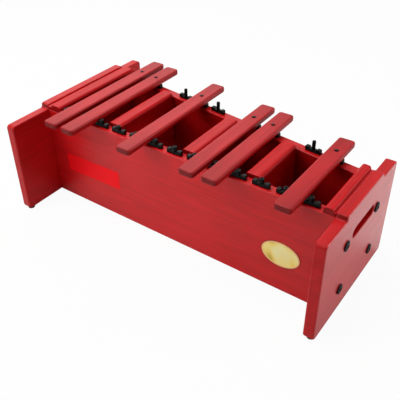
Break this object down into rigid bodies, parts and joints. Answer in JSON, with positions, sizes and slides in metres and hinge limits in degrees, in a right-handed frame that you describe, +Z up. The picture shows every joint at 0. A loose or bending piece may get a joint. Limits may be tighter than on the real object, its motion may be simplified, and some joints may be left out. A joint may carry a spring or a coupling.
{
  "type": "alto xylophone",
  "caption": "Chromatic half of an alto xylophone: a tapered red wooden resonance box with chambers, end panels and lift-off wooden bars on rubber supports.",
  "frame": {"origin": "middle of the footprint on the table, under the instrument", "axes": "+X along the instrument from the long bars to the short bars, +Y from the player's side to the back, +Z up"},
  "size_m": [0.6116, 0.35, 0.2053],
  "materials": {
    "red_wood": "satin red stained lacquer over fine grained wood",
    "panel_wood": "satin red stained lacquer over fine grained wood",
    "inner_wood": "deep red stain, matt",
    "bar_wood": "satin red lacquer with lengthwise grain",
    "black_rubber": "matt black moulded rubber",
    "black_steel": "semi-gloss black"
  },
  "bodies": {
    "box": {"front_board": "red_wood", "back_board": "red_wood", "bottom_board": "inner_wood", "left_end_wall": "red_wood", "right_end_wall": "red_wood", "low_partition": "red_wood", "middle_partition": "red_wood", "high_partition": "red_wood", "left_end_panel": "panel_wood", "right_end_panel": "panel_wood", "left_bolt_upper_front": "black_steel", "left_bolt_upper_back": "black_steel", "left_bolt_lower_front": "black_steel", "left_bolt_lower_back": "black_steel", "right_bolt_upper_front": "black_steel", "right_bolt_upper_back": "black_steel", "right_bolt_lower_front": "black_steel", "right_bolt_lower_back": "black_steel", "back_support_1": "black_rubber", "back_support_2": "black_rubber", "back_support_3": "black_rubber", "back_support_4": "black_rubber", "back_support_5": "black_rubber", "back_support_6": "black_rubber", "back_support_7": "black_rubber", "back_support_8": "black_rubber", "back_support_9": "black_rubber", "front_support_1": "black_rubber", "front_support_2": "black_rubber", "front_support_3": "black_rubber", "front_support_4": "black_rubber", "front_support_5": "black_rubber", "front_support_6": "black_rubber", "front_support_7": "black_rubber", "front_support_8": "black_rubber", "front_support_9": "black_rubber", "front_support_10": "black_rubber", "front_support_11": "black_rubber", "front_support_12": "black_rubber", "front_support_13": "black_rubber", "left_panel_foot_front": "black_rubber", "left_panel_foot_back": "black_rubber", "right_panel_foot_front": "black_rubber", "right_panel_foot_back": "black_rubber", "left_box_foot_front": "black_rubber", "left_box_foot_back": "black_rubber", "right_box_foot_front": "black_rubber", "right_box_foot_back": "black_rubber"},
    "low_c_sharp": {"bar_low_c_sharp": "bar_wood"},
    "low_d_sharp": {"bar_low_d_sharp": "bar_wood"},
    "low_g_sharp": {"bar_low_g_sharp": "bar_wood"},
    "high_c_sharp": {"bar_high_c_sharp": "bar_wood"},
    "high_d_sharp": {"bar_high_d_sharp": "bar_wood"},
    "high_g_sharp": {"bar_high_g_sharp": "bar_wood"}
  },
  "joints": [
    {"name": "low_c_sharp_lift", "type": "slide", "parent": "box", "child": "low_c_sharp", "axis": [0, 0, 1], "range_m": [0, 0.04]},
    {"name": "low_d_sharp_lift", "type": "slide", "parent": "box", "child": "low_d_sharp", "axis": [0, 0, 1], "range_m": [0, 0.04]},
    {"name": "low_g_sharp_lift", "type": "slide", "parent": "box", "child": "low_g_sharp", "axis": [0, 0, 1], "range_m": [0, 0.04]},
    {"name": "high_c_sharp_lift", "type": "slide", "parent": "box", "child": "high_c_sharp", "axis": [0, 0, 1], "range_m": [0, 0.04]},
    {"name": "high_d_sharp_lift", "type": "slide", "parent": "box", "child": "high_d_sharp", "axis": [0, 0, 1], "range_m": [0, 0.04]},
    {"name": "high_g_sharp_lift", "type": "slide", "parent": "box", "child": "high_g_sharp", "axis": [0, 0, 1], "range_m": [0, 0.04]}
  ]
}
